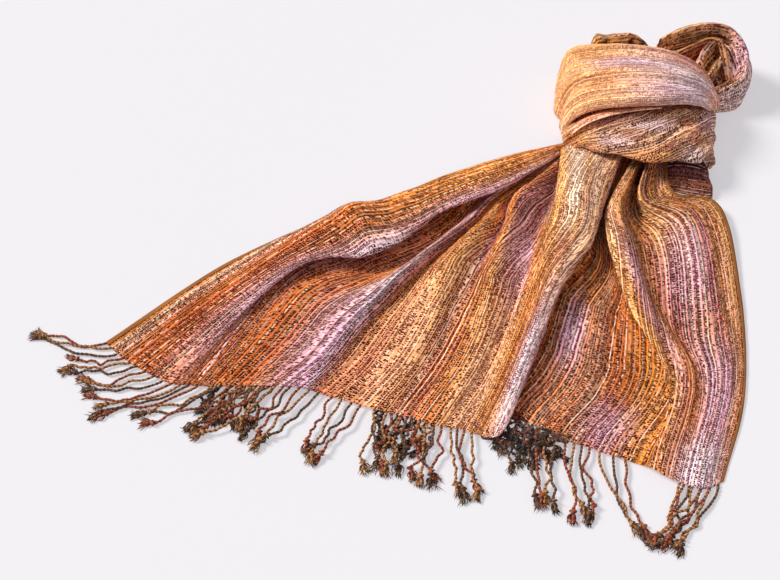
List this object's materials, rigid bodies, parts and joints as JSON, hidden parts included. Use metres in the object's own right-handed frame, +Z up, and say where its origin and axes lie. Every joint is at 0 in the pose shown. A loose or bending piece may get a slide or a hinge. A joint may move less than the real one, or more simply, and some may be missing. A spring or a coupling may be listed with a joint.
{
  "type": "fringed wrap scarf",
  "caption": "Striped woven wrap scarf with twisted fringe, wound into a flat knot with loops at one end and fanned out in folds on a table",
  "frame": {"origin": "on the table, under the middle of the scarf's bounding box", "axes": "+X to the right as seen from the hem, +Y from the hem towards the knot, +Z up from the table"},
  "size_m": [0.8339, 0.6702, 0.0902],
  "materials": {
    "cloth": "matt woven",
    "under_cloth": "matt woven",
    "wrap_cloth": "matt woven",
    "loop_cloth": "matt woven",
    "fringe_thread": "matt twisted"
  },
  "bodies": {
    "root": {"front_end": "cloth", "under_end": "under_cloth", "wrap_upper": "wrap_cloth", "wrap_inner": "wrap_cloth", "wrap_lower": "wrap_cloth", "wrap_tail": "wrap_cloth", "loop_small": "loop_cloth", "loop_large": "loop_cloth", "loop_inner": "loop_cloth", "knot_core": "wrap_cloth", "fringe_left": "fringe_thread", "fringe_right": "fringe_thread", "fringe_under": "fringe_thread"}
  },
  "joints": []
}
